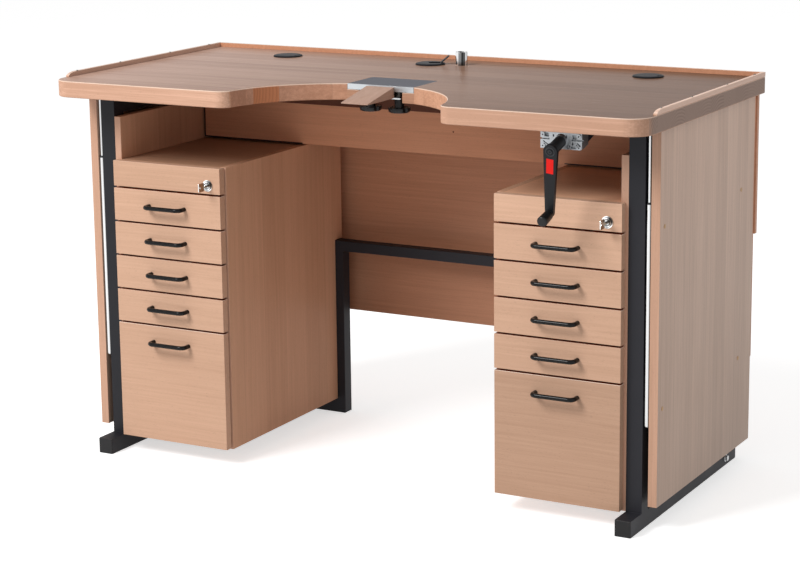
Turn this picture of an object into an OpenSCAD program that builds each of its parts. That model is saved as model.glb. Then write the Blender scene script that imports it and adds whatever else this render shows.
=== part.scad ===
// Jewellers bench with a crank-raised worktop, in millimetres.
// X runs to the right, Y from the front to the back and Z up from the floor.
// The pieces are drawn with Y = 0 at the worktop's front edge and moved back to the middle at the end.

/* [Worktop] */
// Width of the worktop
top_w = 1400; // [1300:10:1600]
// Depth of the worktop
top_d = 680; // [640:5:760]
// Height of the worktop's surface at the lowest setting
top_h = 860; // [850:5:940]
// Thickness of the worktop
top_t = 36; // [32:1:42]
// Radius of the front corners, seen from above
corner_r = 50; // [20:1:80]
// Height of the raised edge strips
rim_h = 10; // [6:1:20]
// Thickness of the raised edge strips
rim_t = 8; // [6:1:14]
// Distance from the front edge to the start of the side strips
rim_set = 60; // [55:1:120]
// Lift of the worktop from the lowest to the highest setting
lift = 300; // [200:10:300]

/* [Bay and bench pin] */
// Radius of the bay cut into the front edge
bay_r = 251; // [200:1:270]
// Distance of the bay's centre in front of the edge
bay_out = 18; // [0:1:40]
// Sideways place of the bay's centre
bay_x = 6; // [-20:1:20]
// Radius where the bay meets the front edge
bay_corner_r = 30; // [10:1:40]
// Width of the steel plate at the back of the bay
plate_w = 160; // [140:1:200]
// Depth of the steel plate
plate_d = 112; // [90:1:140]
// Thickness of the steel plate
plate_t = 12; // [8:1:13]
// Width of the notch under the plate
notch_w = 104; // [98:1:120]
// Length of the bench pin in front of the plate
pin_l = 112; // [80:1:160]
// Width of the bench pin at the plate
pin_w = 66; // [56:1:80]
// Width of the bench pin at its tip
pin_tip_w = 64; // [30:1:70]
// Diameter of the star knobs
knob_d = 49; // [40:1:56]
// Distance between the two star knobs
knob_gap = 70; // [66:1:76]

/* [Frame] */
// Side of the square steel tube
tube = 35; // [30:1:40]
// Wall of the steel tubes
wall = 2; // [1.5:0.5:4]
// Set-back of the front posts from the worktop's front edge
post_set = 122; // [110:1:150]
// Set-back of the rear posts from the worktop's rear edge
post_back = 73; // [65:1:90]
// Height of the rail between the posts
rail_h = 50; // [40:1:60]
// How far the feet reach in front of the posts
foot_out = 55; // [40:1:100]
// Width of the rear frame's uprights
rear_tube_w = 25; // [20:1:30]
// Depth of the rear frame's tubes
rear_tube_d = 30; // [25:1:35]
// Height of the rear frame's crossbar
rear_bar_h = 424; // [300:1:500]
// Distance of the rear frame's uprights from the feet
riser_in = 285; // [276:1:320]

/* [Panels] */
// Thickness of the outer side panels
panel_t = 19; // [16:1:22]
// Overhang of the worktop past the side panels
panel_in = 15; // [5:1:30]
// Height of the side panels' lower edge
panel_z = 52; // [40:1:100]
// Space between the posts and the side panels
lift_gap = 13; // [13:1:20]
// Thickness of the lower back panel
back_t = 5; // [4:1:5]
// Height of the lower back panel's lower edge
back_z = 240; // [150:5:300]
// Thickness of the upper rear panel
rear_t = 12; // [8:1:12]
// Height of the upper rear panel
rear_h = 309; // [305:1:330]
// Overhang of the upper rear panel past the side panels
rear_over = 3; // [0:1:10]
// Thickness of the apron
apron_t = 18; // [12:1:22]
// Distance from the front edge to the apron
apron_y = 452; // [430:1:480]

/* [Pedestals] */
// Thickness of the pedestals' boards
board_t = 16; // [12:1:18]
// Width of the drawer fronts
front_w = 281; // [240:1:300]
// Thickness of the drawer fronts
front_t = 19; // [15:1:22]
// Height of the pedestals' top
ped_h = 673; // [660:1:680]
// Space between the pedestals and the lower back panel
ped_back = 41; // [40:1:80]
// Height of the top board that holds the lock
fascia_h = 57.5; // [50:0.5:60]
// Height of a small drawer's front
small_h = 73; // [68:1:76]
// Gap between drawer fronts
front_gap = 4; // [2:0.5:5]
// Distance from the worktop's underside down to the tall outer boards
tall_gap = 56; // [54:1:120]
// Space behind the drawer boxes
box_room = 31; // [20:1:80]
// Thickness of the drawer boxes' sides
box_t = 14; // [12:1:16]

/* [Handles and locks] */
// Distance between a handle's two feet
handle_c = 93; // [64:1:128]
// Diameter of a handle's rod
handle_rod = 9.5; // [6:0.5:12]
// How far a handle stands out
handle_out = 28; // [20:1:30]
// Diameter of a lock's face
lock_d = 25; // [22:1:28]

/* [Lift and crank] */
// Diameter of the lifting cylinders
cyl_d = 12; // [11:0.5:12]
// Diameter of the lifting rods
rod_d = 8; // [6:0.5:8]
// Height of the lifting cylinders' lower end
cyl_z = 215; // [150:5:240]
// Height of the lifting cylinders' upper end
cyl_top = 672; // [640:1:700]
// Distance of the crank from the worktop's right end
crank_in = 194; // [170:1:260]
// Downward tilt of the crank's axis
crank_tilt = 16; // [10:1:20]
// Length of the crank's arm between its two centres
crank_l = 138; // [100:1:150]
// Angle at which the crank was left
crank_turn = 8; // [-30:1:30]
// Diameter of the crank's grip
grip_d = 22; // [16:1:26]
// Length of the crank's grip
grip_l = 36; // [30:1:60]

/* [Grommets and tool post] */
// Diameter of the cable grommets
grommet_d = 68; // [60:1:80]
// Distance of the left grommet from the worktop's left end
grommet_left = 260; // [180:1:350]
// Distance of the right grommet from the worktop's right end
grommet_right = 229; // [180:1:350]
// Sideways place of the middle grommet
middle_x = -61; // [-120:1:-60]
// Distance of the grommets from the rear edge
grommet_back = 104; // [70:1:120]
// Outer diameter of the tool post
post_d = 27; // [24:1:30]
// Height of the tool post above the worktop
post_h = 30; // [25:1:60]
// Sideways place of the tool post
post_x = 10; // [0:1:60]
// Distance of the tool post from the rear edge
post_in = 88; // [60:1:120]

/* [Hidden] */
$fn = 48;

// Clearances: running fits, pieces that slide past each other, pieces at their seats, and butt joints
run = 0.05;
slide = 0.5;
seat = 0.3;
joint = 0.2;

// Worktop and what hangs from it
under = top_h - top_t;
mid_bay_y = -bay_out;
plate_y = sqrt(pow(bay_r, 2) - pow(plate_w / 2, 2)) + mid_bay_y;
flat_a = asin(plate_w / 2 / bay_r);
plate_z = top_h - plate_t;
notch_y = plate_y + plate_d - 32;
rim_end = 30;

// Bench pin and clamp, stacked down from the worktop's surface
pin_drop = 2.5;
pin_low = plate_z - 14;
pin_tip_t = 2;
tenon_w = 50;
tenon_l = 58;
bar_t = 3;
bar_w = knob_gap + 18;
bar_front = 8;
bar_back = 40;
bar_z = pin_low - seat - bar_t;
stud_d = 8;
stud_y = plate_y + 20;
knob_h = 11;
knob_round = 6.5;
neck_h = 18;
neck_d = 21;
knob_z = bar_z - seat - neck_h - knob_h;
stud_low = knob_z + 4;
boss_d = 19;
boss_h = 12;

// Side frames
panel_x = top_w / 2 - panel_in;
panel_in_x = panel_x - panel_t;
frame_x = panel_in_x - lift_gap;
board_x = frame_x - tube;
tall_x = board_x - board_t;
post2_y = top_d - post_back - tube;
tall_h = under - tall_gap;
foot_y = post_set - foot_out;
foot_end = top_d - 12;
frame_top = under - slide;
cap_t = 3;
cap_plug = 12;
panel_back = top_d - back_t - rear_t - 1;

// Rear frame
rear_y = post2_y + 18;
riser_x = board_x - riser_in;
bolt_r = 6.5;
bolt_t = 5;

// Pedestals
case_end = panel_back - ped_back;
ped_d = case_end - post_set;
front_x = tall_x + 10;
front_in = front_x - front_w;
case_x = front_in - 3;
case_y = post_set + 2.5;
case_in = case_x + board_t;
front_back = post_set - slide;
front_y = front_back - front_t;
case_back_t = 8;
box_l = ped_d - case_back_t - box_room;
first_top = ped_h - fascia_h - front_gap;
pitch = small_h + front_gap;
big_z = tube + 3;
big_h = first_top - 4 * pitch - big_z;
box_side = 6;
box_low = 10;
box_bottom_t = 6;
groove = 8;
strip_h = 10;
strip_y = post_set + 8;
strip_l = ped_d - 40;
big_low = board_t + 2;
big_box_h = big_h - big_low - 38;

// Handles and locks
bend_r = 11;
lock_in = 31;
lock_z = ped_h - fascia_h / 2 - 10;
lock_body = 19;
key_r = 3;
bow_w = 19;
bow_l = 20;
bow_out = 16;
bow_t = 2;

// Lifting cylinders and the plugged screws that hold the side panels off the posts
cyl_x = frame_x + lift_gap / 2;
cyl_y1 = post_set + 7;
cyl_y2 = post2_y + 28;
spacer_y1 = post_set + 24;
spacer_y2 = post2_y + 12;
spacer_z = [254, 627];
spacer_d = 13;
plug_d = 9;
plug_deep = 6;
rod_low = cyl_z + 30;
pad_w = 8;
rod_foot_t = 3.5;
rod_foot_l = 40;

// Pump and crank, set in a frame of their own that tilts with the shaft
crank_x = top_w / 2 - crank_in;
pump_y = 46;
pump_z = under - 23;
pump_w = 89;
pump_depth = 30;
pump_low = under - 40;
pump_rise = pump_depth * tan(crank_tilt);
bracket_w = 84;
bracket_l = 62;
boss_x = [-38.5, 38.5];
boss_z = [pump_low + 5, pump_low + 27];
pocket_d = 7;
// Pockets of the pump's face as left, right, bottom and top, and slots as place, turn, width and height
pockets = [
    [-35, -26, pump_low + 23, pump_low + 31], [-45.5, -25, pump_low + 17.5, pump_low + 20.5],
    [24, 33, pump_low + 21, pump_low + 29], [22.5, 45.5, pump_low + 17.5, pump_low + 20.5],
    [21, 31, pump_low + 2.5, pump_low + 6.5], [23.5, 26, pump_low + 9, pump_low + 14]
];
slots = [
    [-37, pump_low + 13.2, 38, 5, 1.6], [-33.5, pump_low + 11, 38, 8, 1.6], [-30, pump_low + 9, 38, 6, 1.6],
    [37.5, pump_low + 10.5, 38, 9, 1.8], [34.5, pump_low + 8, 38, 6, 1.6],
    [-16.5, pump_low + 26, 0, 3, 5], [11, pump_low + 25, 0, 2, 6]
];
crank_reach = 54;
arm_t = 9;
hub_r = 14.5;
tip_r = 8.7;
barrel_r = 12;
sleeve_low = 4.8;
shaft_r = 6;
grip_pin_r = 4;

// Grommets: each has its place, the way its flap faces and how far the flap is open
grommet_y = top_d - grommet_back;
grommet_t = 4;
sleeve_h = 18;
grommet_hole = 60;
flap_t = 1.8;
flap_w = 22;
flap_l = 26;
flap_r = 23;
GROMMETS = [[grommet_left - top_w / 2, 0, 0], [middle_x, 28, 140], [top_w / 2 - grommet_right, 0, 0]];

// The whole bench is centred on its own outline
front_reach = pump_y - crank_reach * cos(crank_tilt) - hub_r * sin(crank_tilt);
mid_y = (top_d + front_reach) / 2;
eps = 0.01;

SIDES = ["left", "right"];

beech = [0.80, 0.62, 0.46];
beech_dark = [0.72, 0.53, 0.38];
coat = [0.13, 0.13, 0.14];
gloss_black = [0.05, 0.05, 0.05];
steel = [0.62, 0.64, 0.66];
chrome = [0.80, 0.81, 0.83];
cast = [0.66, 0.67, 0.68];

// A box from its lowest corner to its highest corner
module span(a, b) {
    translate(a) cube([b.x - a.x, b.y - a.y, b.z - a.z]);
}

// The same piece on both sides of the middle
module both() {
    children();
    mirror([1, 0, 0]) children();
}

// The right-hand piece, or its mirror image for the left
module on_side(side) {
    if (side == "right") children();
    else mirror([1, 0, 0]) children();
}

// Points on an arc
function arc(c, r, a0, a1, n) = [
    for (i = [0:n]) let (a = a0 + (a1 - a0) * i / n) c + r * [cos(a), sin(a)]
];

// Worktop outline: round front corners, and a bay with a flat back whose mouth is rounded into the front edge
mouth_r = bay_r + bay_corner_r;
mouth_dy = bay_corner_r - mid_bay_y;
mouth_dx = sqrt(pow(mouth_r, 2) - pow(mouth_dy, 2));
mouth_a = atan2(mouth_dy, mouth_dx);
module worktop_outline() {
    half = top_w / 2;
    left_mouth = [bay_x - mouth_dx, bay_corner_r];
    right_mouth = [bay_x + mouth_dx, bay_corner_r];
    polygon(concat(
        [[-half, top_d]],
        arc([-half + corner_r, corner_r], corner_r, 180, 270, 12),
        arc(left_mouth, bay_corner_r, 270, 360 - mouth_a, 10),
        arc([bay_x, mid_bay_y], bay_r, 180 - mouth_a, 90 + flat_a, 18),
        arc([bay_x, mid_bay_y], bay_r, 90 - flat_a, mouth_a, 18),
        arc(right_mouth, bay_corner_r, 180 + mouth_a, 270, 10),
        arc([half - corner_r, corner_r], corner_r, 270, 360, 12),
        [[half, top_d]]
    ));
}

module worktop() {
    color(beech) difference() {
        translate([0, 0, under]) linear_extrude(top_t) worktop_outline();
        span([bay_x - plate_w / 2, plate_y - 1, plate_z], [bay_x + plate_w / 2, plate_y + plate_d, top_h + 1]);
        span([bay_x - notch_w / 2, plate_y - 20, under - 1], [bay_x + notch_w / 2, notch_y, top_h + 1]);
        for (g = GROMMETS) translate([g.x, grommet_y, under - 1]) cylinder(d = grommet_hole, h = top_t + 2);
        translate([post_x, top_d - post_in, under - 1]) cylinder(d = post_d + 2 * run, h = top_t + 2);
    }
}

// Raised strips along the sides and the back, with quarter-round front ends
module edge_strips() {
    color(beech) {
        both() translate([top_w / 2 - rim_t, 0, top_h]) rotate([90, 0, 90]) linear_extrude(rim_t)
            polygon(concat(
                [for (p = arc([rim_set + rim_end, 0], rim_end, 180, 90, 8)) [p.x, p.y * rim_h / rim_end]],
                [[top_d, rim_h], [top_d, 0]]
            ));
        x = top_w / 2 - rim_t - joint;
        span([-x, top_d - rim_t, top_h], [x, top_d, top_h + rim_h]);
    }
}

module apron() {
    x = tall_x - front_gap;
    color(beech_dark) span([-x, apron_y, ped_h + front_gap], [x, apron_y + apron_t, under]);
}

module upper_rear_panel() {
    color(beech) span([-panel_x - rear_over, top_d - rear_t, under - rear_h], [panel_x + rear_over, top_d, under]);
}

module bench_plate() {
    color(steel) difference() {
        span([bay_x - plate_w / 2, plate_y, plate_z], [bay_x + plate_w / 2, plate_y + plate_d, top_h]);
        for (s = [-1, 1]) translate([bay_x + s * knob_gap / 2, stud_y, plate_z - 1])
            cylinder(d = stud_d, h = plate_t - 2);
    }
}

// Two studs screwed into the plate, each with a collar under it
module clamp_studs() {
    color(steel) for (s = [-1, 1]) translate([bay_x + s * knob_gap / 2, stud_y, 0]) {
        translate([0, 0, stud_low]) cylinder(d = stud_d, h = plate_z + plate_t - 3 - stud_low);
        translate([0, 0, plate_z - boss_h]) cylinder(d = boss_d, h = boss_h);
    }
}

// Steel bar that the knobs press up under the pin
module clamp_bar() {
    color(steel) difference() {
        span([bay_x - bar_w / 2, plate_y + bar_front, bar_z],
            [bay_x + bar_w / 2, plate_y + bar_back, bar_z + bar_t]);
        for (s = [-1, 1]) translate([bay_x + s * knob_gap / 2, stud_y, bar_z - 1])
            cylinder(d = stud_d + 1, h = bar_t + 2);
    }
}

// Wooden wedge with a tenon that goes under the plate
module bench_pin() {
    back = plate_y - seat;
    pin_high = top_h - pin_drop;
    color(beech) union() {
        intersection() {
            translate([bay_x - pin_w, 0, 0]) rotate([90, 0, 90]) linear_extrude(2 * pin_w) polygon([
                [back, pin_low], [back, pin_high], [back - pin_l, pin_low + pin_tip_t], [back - pin_l, pin_low]
            ]);
            translate([bay_x, back, 0]) linear_extrude(top_h)
                polygon([[-pin_w / 2, 0], [-pin_tip_w / 2, -pin_l], [pin_tip_w / 2, -pin_l], [pin_w / 2, 0]]);
        }
        span([bay_x - tenon_w / 2, back - 1, pin_low], [bay_x + tenon_w / 2, back + tenon_l, plate_z - seat]);
    }
}

// Star knob with six lobes, a rounded underside and a neck, threaded on its stud
module knob(s) {
    r = knob_d / 2 + eps;
    color(gloss_black) translate([bay_x + s * knob_gap / 2, stud_y, knob_z]) difference() {
        union() {
            intersection() {
                linear_extrude(knob_h) difference() {
                    circle(d = knob_d);
                    for (a = [30:60:330]) rotate(a) translate([knob_d * 0.6, 0]) circle(d = knob_d * 0.33);
                }
                rotate_extrude() polygon(concat(
                    [[0, 0]], arc([r - knob_round, knob_round], knob_round, 270, 360, 4),
                    [[r, knob_h - 2], [r - 2, knob_h], [0, knob_h]]
                ));
            }
            cylinder(d = neck_d, h = knob_h + neck_h);
        }
        translate([0, 0, 3]) cylinder(d = stud_d + 2 * run, h = knob_h + neck_h);
    }
}

// One side of the base: a foot, two posts and a rail, welded from square tube, with saddles for the cylinders
module side_frame(side) {
    color(coat) on_side(side) difference() {
        union() {
            span([board_x, foot_y, 0], [frame_x, foot_end, tube]);
            for (y = [post_set, post2_y]) span([board_x, y, tube - eps], [frame_x, y + tube, frame_top]);
            span([board_x, post_set + tube - eps, frame_top - rail_h], [frame_x, post2_y + eps, frame_top]);
            for (y = [cyl_y1, cyl_y2]) for (z = [cyl_z + 40, cyl_top - 60])
                span([frame_x - eps, y - pad_w / 2, z], [cyl_x, y + pad_w / 2, z + 14]);
        }
        for (y = [cyl_y1, cyl_y2]) translate([cyl_x, y, cyl_z]) cylinder(d = cyl_d + 2 * run, h = cyl_top - cyl_z);
        span([board_x + wall, foot_y - 1, wall], [frame_x - wall, foot_end + 1, tube - wall]);
        for (y = [post_set, post2_y])
            span([board_x + wall, y + wall, tube], [frame_x - wall, y + tube - wall, frame_top + 1]);
        span([board_x + wall, post_set + tube / 2, frame_top - rail_h + wall],
            [frame_x - wall, post2_y + tube / 2, frame_top - wall]);
    }
}

// Plastic plugs in the ends of the feet and in the tops of the posts
module tube_end_caps() {
    color(gloss_black) both() {
        for (end = [0, 1]) translate([0, end ? foot_end : foot_y, 0]) mirror([0, end, 0]) {
            span([board_x, -cap_t, 0], [frame_x, 0, tube]);
            span([board_x + wall, 0, wall], [frame_x - wall, cap_plug, tube - wall]);
        }
        for (y = [post_set, post2_y])
            span([board_x + wall, y + wall, frame_top - cap_t], [frame_x - wall, y + tube - wall, frame_top]);
    }
}

// The hat-shaped frame behind the knees: floor tubes, uprights and a crossbar
module rear_frame() {
    y0 = rear_y;
    y1 = rear_y + rear_tube_d;
    color(coat) difference() {
        union() {
            both() {
                span([riser_x, y0, 0], [board_x, y1, tube]);
                span([riser_x - rear_tube_w, y0, 0], [riser_x, y1, rear_bar_h]);
            }
            span([-riser_x, y0, rear_bar_h - rear_tube_w], [riser_x, y1, rear_bar_h]);
        }
        both() {
            span([riser_x - wall - 1, y0 + wall, wall], [board_x + 1, y1 - wall, tube - wall]);
            span([riser_x - rear_tube_w + wall, y0 + wall, wall], [riser_x - wall, y1 - wall, rear_bar_h - wall]);
        }
        span([wall - riser_x, y0 + wall, rear_bar_h - rear_tube_w + wall],
            [riser_x - wall, y1 - wall, rear_bar_h - wall]);
    }
}

// Hexagon bolts that hold the rear frame to the feet
module frame_bolts() {
    color(coat) both() translate([frame_x, rear_y + rear_tube_d / 2, tube / 2]) rotate([0, 90, 0]) {
        cylinder(r = bolt_r + 2, h = 1.5);
        translate([0, 0, 1.5]) cylinder(r = bolt_r, h = bolt_t, $fn = 6);
    }
}

// Slim hydraulic cylinders that stand between the posts and the side panels
module lift_cylinders() {
    color(chrome) both() for (y = [cyl_y1, cyl_y2]) difference() {
        translate([cyl_x, y, 0]) union() {
            translate([0, 0, cyl_z + cyl_d / 2]) cylinder(d = cyl_d, h = cyl_top - cyl_z - cyl_d / 2);
            translate([0, 0, cyl_z + cyl_d / 2]) sphere(d = cyl_d);
        }
        translate([cyl_x, y, rod_low - 10]) cylinder(d = rod_d + 2 * run, h = cyl_top);
    }
}

// Rods with a screwed foot under the worktop
module lift_rods() {
    foot = lift_gap - 2;
    color(chrome) both() for (y = [cyl_y1, cyl_y2]) translate([cyl_x, y, 0]) {
        translate([0, 0, rod_low]) cylinder(d = rod_d, h = under - rod_low);
        translate([-foot / 2, -foot / 2, under - rod_foot_t]) cube([foot, rod_foot_l, rod_foot_t]);
    }
}

module panel_spacers() {
    color(steel) both() for (y = [spacer_y1, spacer_y2]) for (z = spacer_z)
        translate([frame_x, y, z]) rotate([0, 90, 0]) cylinder(d = spacer_d, h = lift_gap);
}

module side_panels() {
    color(beech) both() difference() {
        span([panel_in_x, post_set, panel_z], [panel_x, panel_back, frame_top - 1]);
        for (y = [spacer_y1, spacer_y2]) for (z = spacer_z)
            translate([panel_x - plug_deep, y, z]) rotate([0, 90, 0]) cylinder(d = plug_d, h = plug_deep + 1);
    }
}

module panel_plugs() {
    color(beech_dark) both() for (y = [spacer_y1, spacer_y2]) for (z = spacer_z)
        translate([panel_x - plug_deep, y, z]) rotate([0, 90, 0]) cylinder(d = plug_d, h = plug_deep + 0.6);
}

module lower_back_panel() {
    color(beech) span([-panel_x, panel_back, back_z], [panel_x, panel_back + back_t, frame_top - 6]);
}

// Tall boards against the posts, which are the pedestals' outer sides
module outer_boards() {
    color(beech) both() span([tall_x, post_set, tube], [board_x, case_end, tall_h]);
}

// Inner sides, cut out at the back round the rear frame's uprights
module pedestal_inner_sides() {
    color(beech) both() difference() {
        span([case_x, case_y, tube], [case_in, case_end, ped_h]);
        span([case_x - 1, rear_y - 1, tube - 1], [case_in + 1, case_end + 1, rear_bar_h + 1]);
    }
}

module pedestal_tops() {
    color(beech) both() span([case_in, post_set, ped_h - board_t], [tall_x, case_end, ped_h]);
}

module pedestal_bottoms() {
    color(beech) both() span([case_in, case_y, tube], [tall_x, case_end, tube + board_t]);
}

module pedestal_backs() {
    color(beech) both()
        span([case_in, case_end - case_back_t, tube + board_t], [tall_x, case_end, ped_h - board_t]);
}

// Right-hand edge of a pedestal's fronts, seen from the front
function lock_x(side) = (side == "right" ? front_x : -front_in) - lock_in;

// Fixed boards above the drawers, each bored for its lock
module lock_boards() {
    color(beech) for (side = SIDES) difference() {
        on_side(side) span([front_in, post_set - front_t, ped_h - fascia_h], [front_x, post_set, ped_h]);
        translate([lock_x(side), post_set - front_t - 1, lock_z]) rotate([-90, 0, 0])
            cylinder(d = lock_body, h = front_t + 2);
    }
}

module lock_barrels() {
    face = post_set - front_t;
    color(chrome) for (side = SIDES) translate([lock_x(side), face, lock_z]) rotate([-90, 0, 0])
        difference() {
            union() {
                translate([0, 0, -2]) cylinder(d = lock_d, h = 2);
                translate([0, 0, -4]) cylinder(d = lock_d - 5, h = 4);
                cylinder(d = lock_body, h = front_t + 6);
            }
            translate([0, 0, -5]) cylinder(r = key_r + run, h = front_t + 12);
        }
}

// Key with its flat bow, and the cam that turns with it behind the board
module key(side) {
    face = post_set - front_t;
    cam_y = face + front_t + 6.5;
    color(chrome) translate([lock_x(side), 0, lock_z]) {
        translate([0, face - bow_out - 1, 0]) rotate([-90, 0, 0]) cylinder(r = key_r, h = cam_y - face + bow_out + 3);
        translate([-bow_t / 2, face - bow_out, 0]) rotate([90, 0, 90]) linear_extrude(bow_t) difference() {
            hull() for (y = [-3, 3 - bow_l]) for (z = [-1, 1])
                translate([y, z * (bow_w / 2 - 3)]) circle(r = 3, $fn = 32);
            translate([4 - bow_l, 0]) circle(d = 4);
        }
        translate([-5, cam_y, -5]) cube([10, 2, 23]);
    }
}

// Fixed strips that run in the grooves of the drawers' sides
module drawer_runners() {
    w = box_side + groove - slide;
    color(steel) both() for (i = [0:4]) translate([0, 0, strip_z(i)]) {
        span([case_in, strip_y, 0], [case_in + w, strip_y + strip_l, strip_h]);
        span([tall_x - w, strip_y, 0], [tall_x, strip_y + strip_l, strip_h]);
    }
}

function front_z(i) = i < 4 ? first_top - (i + 1) * pitch + front_gap : big_z;
function front_h(i) = i < 4 ? small_h : big_h;
function box_h(i) = i < 4 ? small_h - 2 * box_low : big_box_h;
function box_z(i) = front_z(i) + (i < 4 ? box_low : big_low);
function strip_z(i) = box_z(i) + box_h(i) / 2 - strip_h / 2;

// A drawer: its front board, and a grooved box with a thin bottom behind it
module drawer(side, i) {
    z0 = box_z(i);
    z1 = z0 + box_h(i);
    x0 = case_in + box_side;
    x1 = tall_x - box_side;
    y1 = front_back + box_l;
    color(beech) on_side(side) {
        span([front_in, front_y, front_z(i)], [front_x, front_back, front_z(i) + front_h(i)]);
        difference() {
            span([x0, front_back, z0], [x1, y1, z1]);
            span([x0 + box_t, front_back + box_t, z0 + box_bottom_t], [x1 - box_t, y1 - box_t, z1 + 1]);
            for (x = [x0 - 1, x1 - groove])
                span([x, front_back - 1, strip_z(i) - seat],
                    [x + groove + 1, y1 + 1, strip_z(i) + strip_h + seat]);
        }
    }
}

handle_x = (front_in + front_x) / 2;
function handle_z(i) = front_z(i) + (i < 4 ? small_h / 2 + 1.5 : big_h - 37);

// Bow handle: a round rod whose ends bend back to the drawer's front
module handle(side, i) {
    half = handle_c / 2;
    reach = handle_out - handle_rod / 2;
    color(gloss_black) on_side(side) translate([handle_x, front_y, handle_z(i)]) union() {
        for (s = [-1, 1]) {
            translate([s * half, 0, 0]) rotate([90, 0, 0]) cylinder(d = handle_rod, h = reach - bend_r);
            translate([s * (half - bend_r), bend_r - reach, 0]) rotate(s > 0 ? -90 : 180)
                rotate_extrude(angle = 90) translate([bend_r, 0]) circle(d = handle_rod, $fn = 24);
        }
        translate([bend_r - half, -reach, 0]) rotate([0, 90, 0])
            cylinder(d = handle_rod, h = handle_c - 2 * bend_r);
    }
}

// Puts its children in the pump's frame: the shaft points along -Y and the crank hangs down
module at_pump() {
    translate([crank_x, pump_y, pump_z]) rotate([crank_tilt, 0, 0]) children();
}

// Die-cast pump: an upright face with pockets and screw bosses, an underside that slopes up to the back,
// and a tilted collar round the shaft
module pump() {
    x0 = pump_w / 2;
    color(cast) difference() {
        union() {
            translate([crank_x, pump_y, 0]) intersection() {
                rotate([90, 0, 90]) translate([0, 0, -x0]) linear_extrude(pump_w) polygon([
                    [0, pump_low], [0, under], [pump_depth, under], [pump_depth, pump_low + pump_rise]
                ]);
                translate([0, pump_depth + 1, 0]) rotate([90, 0, 0]) linear_extrude(pump_depth + 2) polygon([
                    [-x0, under + 1], [-x0, pump_low - 1], [x0 - 4, pump_low - 1], [x0, pump_low + 3], [x0, under + 1]
                ]);
            }
            for (x = boss_x) for (z = boss_z) translate([crank_x + x, pump_y, z])
                rotate([90, 0, 0]) translate([0, 0, -1]) cylinder(r = 4.6, h = 3.5);
            at_pump() rotate([90, 0, 0]) translate([0, 0, -8]) cylinder(r = barrel_r + 1, h = 8 + sleeve_low - seat);
        }
        at_pump() rotate([90, 0, 0]) translate([0, 0, -22]) cylinder(r = shaft_r + run, h = 40);
        translate([crank_x, pump_y, 0]) {
            for (p = pockets) span([p[0], -3, p[2]], [p[1], pocket_d, p[3]]);
            for (p = slots) translate([p[0], 0, p[1]]) rotate([0, p[2], 0])
                span([-p[3] / 2, -3, -p[4] / 2], [p[3] / 2, pocket_d, p[4] / 2]);
            translate([15.5, 0, pump_low + 5]) rotate([90, 0, 0]) translate([0, 0, -5]) difference() {
                cylinder(r = 4, h = 8);
                translate([0, 0, -1]) cylinder(r = 2.4, h = 10);
            }
            for (x = boss_x) for (z = boss_z) translate([x, 0, z]) rotate([90, 0, 0]) translate([0, 0, -6])
                cylinder(d = 3, h = 12);
        }
    }
}

// Wedge between the pump's back and the worktop
module pump_bracket() {
    back = pump_y + pump_depth;
    color(coat) translate([crank_x - bracket_w / 2, 0, 0]) rotate([90, 0, 90]) linear_extrude(bracket_w) polygon([
        [back, pump_low + pump_rise + 2], [back, under], [back + bracket_l, under], [back + bracket_l, under - 10]
    ]);
}

// Crank: shaft, thick sleeve and a tapering arm, with the pin for its grip
module crank() {
    a = asin((hub_r - tip_r) / crank_l);
    color(gloss_black) at_pump() rotate([0, crank_turn, 0]) rotate([90, 0, 0]) {
        translate([0, 0, -20]) cylinder(r = shaft_r, h = 30);
        translate([0, 0, sleeve_low]) cylinder(r = barrel_r, h = crank_reach - arm_t - sleeve_low);
        translate([0, 0, crank_reach - arm_t]) {
            cylinder(r = hub_r, h = arm_t);
            translate([0, -crank_l, 0]) cylinder(r = tip_r, h = arm_t);
            linear_extrude(arm_t) polygon([
                [hub_r * cos(a), -hub_r * sin(a)], [-hub_r * cos(a), -hub_r * sin(a)],
                [-tip_r * cos(a), -crank_l - tip_r * sin(a)], [tip_r * cos(a), -crank_l - tip_r * sin(a)]
            ]);
            translate([0, 0, arm_t]) cylinder(r = 5, h = 1);
        }
        translate([0, -crank_l, crank_reach - eps]) cylinder(r = grip_pin_r, h = grip_l - 6);
    }
}

module crank_grip() {
    r = grip_d / 2;
    color(gloss_black) at_pump() rotate([0, crank_turn, 0]) rotate([90, 0, 0])
        translate([0, -crank_l, crank_reach + seat]) rotate_extrude() polygon(concat(
            [[grip_pin_r + run, 0], [r - 2, 0], [r - 1, 3]],
            arc([r - 4, grip_l - 4], 4, 0, 90, 5),
            [[0, grip_l], [0, grip_l - 4], [grip_pin_r + run, grip_l - 4]]
        ));
}

// Puts its children in a grommet's own frame on the worktop
module at_grommet(g) {
    translate([g.x, grommet_y, top_h]) rotate(g.y) children();
}

// Black cable grommets: a flanged cap on a sleeve, with a pocket and a slot that a flap closes
module cable_grommets() {
    r = grommet_d / 2;
    x0 = flap_r - flap_l;
    color(gloss_black) for (g = GROMMETS) at_grommet(g) difference() {
        union() {
            rotate_extrude() polygon([[0, 0], [r, 0], [r, 2], [r - 1, 3], [r - 5, grommet_t], [0, grommet_t]]);
            translate([0, 0, -sleeve_h]) cylinder(d = grommet_hole - 2 * seat, h = sleeve_h + eps);
        }
        span([x0 + 3, 2 - flap_w / 2, -sleeve_h - 1], [flap_r - 4, flap_w / 2 - 2, grommet_t + 1]);
        span([x0 - seat, -flap_w / 2 - seat, grommet_t - flap_t - seat],
            [flap_r + 3.5, flap_w / 2 + seat, grommet_t + 1]);
    }
}

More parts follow.
